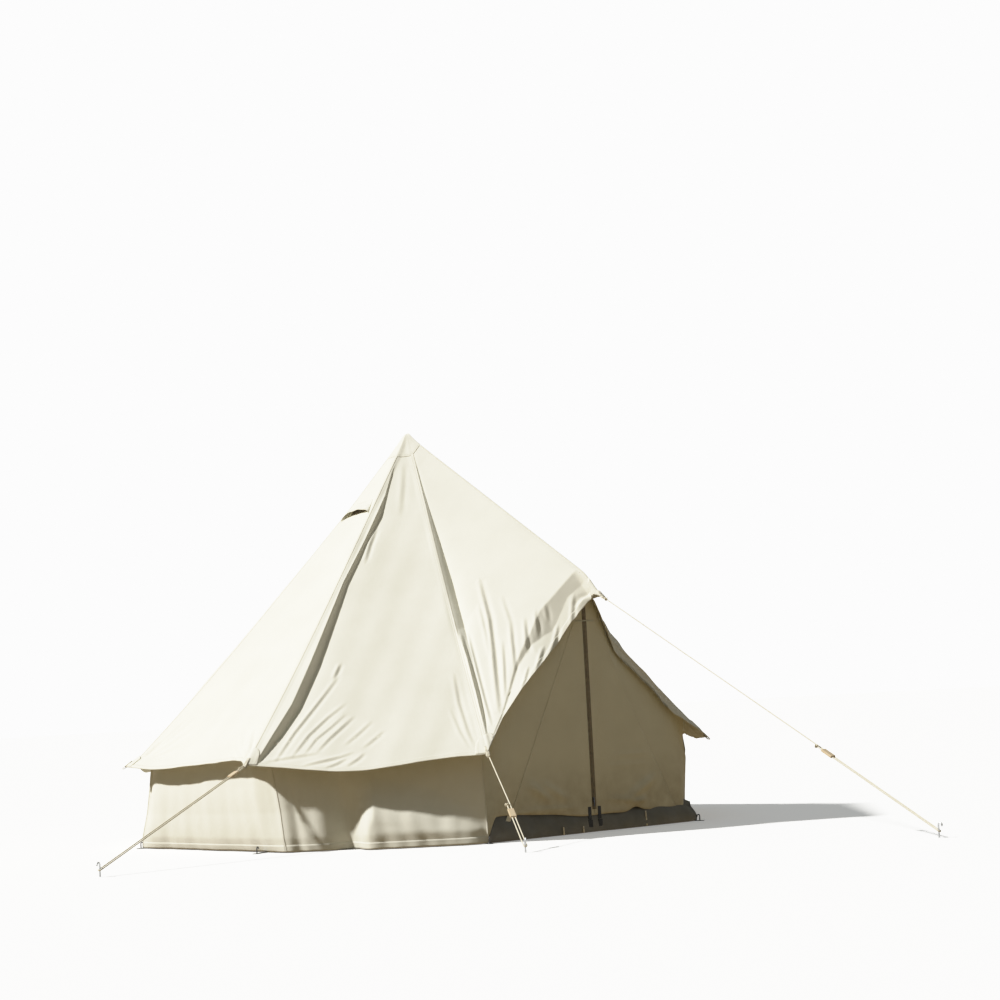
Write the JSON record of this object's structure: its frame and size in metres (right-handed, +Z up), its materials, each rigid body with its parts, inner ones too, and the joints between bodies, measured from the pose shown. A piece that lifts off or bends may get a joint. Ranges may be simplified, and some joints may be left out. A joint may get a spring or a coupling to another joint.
{
  "type": "bell tent",
  "caption": "Canvas bell tent on a centre pole, with low walls, an A-frame porch door with a zip, roof vents, a tray groundsheet and guy ropes with sliding runners.",
  "frame": {"origin": "on the ground under the centre pole, on the underside of the groundsheet", "axes": "+Z up along the centre pole, -Y from the pole towards the door, +X to the right for somebody outside who faces the door"},
  "size_m": [3.842, 4.7026, 2.0165],
  "materials": {
    "canvas": "matt cream cotton canvas, plain weave",
    "groundsheet": "heavy grey coated sheet, slight sheen",
    "webbing": "black woven webbing with a moulded buckle",
    "zip_tape": "dark brown zip tape",
    "steel": "galvanised steel",
    "rubber": "black rubber",
    "rope": "cream twisted guy rope",
    "runner": "plain turned wood, oiled",
    "mesh": "dark insect mesh"
  },
  "bodies": {
    "tent": {"apex_cap": "canvas", "centre_pole_foot": "rubber", "centre_pole_lower": "steel", "centre_pole_spike": "steel", "centre_pole_upper": "steel", "door_side_left": "canvas", "door_side_right": "canvas", "ground_peg_back_left": "steel", "ground_peg_back_right": "steel", "ground_peg_door_left": "steel", "ground_peg_door_right": "steel", "ground_peg_front_left": "steel", "ground_peg_front_right": "steel", "ground_peg_left": "steel", "ground_peg_right": "steel", "groundsheet": "groundsheet", "guy_peg_door_corner": "steel", "guy_peg_ridge": "steel", "guy_peg_side_corner": "steel", "guy_rope_door_corner": "rope", "guy_rope_ridge": "rope", "guy_rope_side_corner": "rope", "porch_foot_left": "rubber", "porch_foot_right": "rubber", "porch_pole_elbow": "steel", "porch_pole_left": "steel", "porch_pole_right": "steel", "porch_roof_left": "canvas", "porch_roof_right": "canvas", "rim_loop_left": "webbing", "rim_loop_right": "webbing", "roof_back": "canvas", "roof_back_left": "canvas", "roof_back_right": "canvas", "roof_front_left": "canvas", "roof_front_right": "canvas", "roof_left": "canvas", "roof_right": "canvas", "vent_hood_left": "canvas", "vent_hood_right": "canvas", "vent_mesh_left": "mesh", "vent_mesh_right": "mesh", "wall_back": "canvas", "wall_back_left": "canvas", "wall_back_right": "canvas", "wall_front_left": "canvas", "wall_front_right": "canvas", "wall_left": "canvas", "wall_right": "canvas"},
    "door_leaf_left": {"door_leaf_left": "canvas", "door_zip_left": "zip_tape"},
    "door_leaf_right": {"door_leaf_right": "canvas", "door_zip_right": "zip_tape"},
    "zip_slider": {"zip_slider": "steel"},
    "zip_pull": {"zip_pull": "steel"},
    "door_strap_left": {"door_strap_left": "webbing"},
    "door_strap_right": {"door_strap_right": "webbing"},
    "guy_runner_door_corner": {"guy_runner_door_corner": "runner"},
    "guy_runner_side_corner": {"guy_runner_side_corner": "runner"},
    "guy_runner_ridge": {"guy_runner_ridge": "runner"}
  },
  "joints": [
    {"name": "door_left_hinge", "type": "hinge", "parent": "tent", "child": "door_leaf_left", "pos_m": [-0.52705, -1.24705, 0.1], "axis": [-0.4636, 0, -0.8861], "range_deg": [0, 90]},
    {"name": "door_right_hinge", "type": "hinge", "parent": "tent", "child": "door_leaf_right", "pos_m": [0.52705, -1.24705, 0.1], "axis": [-0.4636, 0, 0.8861], "range_deg": [0, 90]},
    {"name": "zip_slide", "type": "slide", "parent": "door_leaf_left", "child": "zip_slider", "axis": [0, 0, 1], "range_m": [0, 0.81]},
    {"name": "zip_pull_hinge", "type": "hinge", "parent": "zip_slider", "child": "zip_pull", "pos_m": [-0.0053, -1.25655, 0.1566], "axis": [-1, 0, 0], "range_deg": [0, 80]},
    {"name": "strap_left_hinge", "type": "hinge", "parent": "door_leaf_left", "child": "door_strap_left", "pos_m": [-0.031, -1.24835, 0.118], "axis": [-1, 0, 0], "range_deg": [0, 90]},
    {"name": "strap_right_hinge", "type": "hinge", "parent": "door_leaf_right", "child": "door_strap_right", "pos_m": [0.031, -1.24835, 0.118], "axis": [-1, 0, 0], "range_deg": [0, 90]},
    {"name": "runner_door_corner_slide", "type": "slide", "parent": "tent", "child": "guy_runner_door_corner", "axis": [-0.3997, -0.7575, -0.5163], "range_m": [0, 0.15]},
    {"name": "runner_side_corner_slide", "type": "slide", "parent": "tent", "child": "guy_runner_side_corner", "axis": [-0.8911, -0.3016, -0.3391], "range_m": [0, 0.15]},
    {"name": "runner_ridge_slide", "type": "slide", "parent": "tent", "child": "guy_runner_ridge", "axis": [0, -0.8704, -0.4924], "range_m": [0, 0.15]}
  ]
}
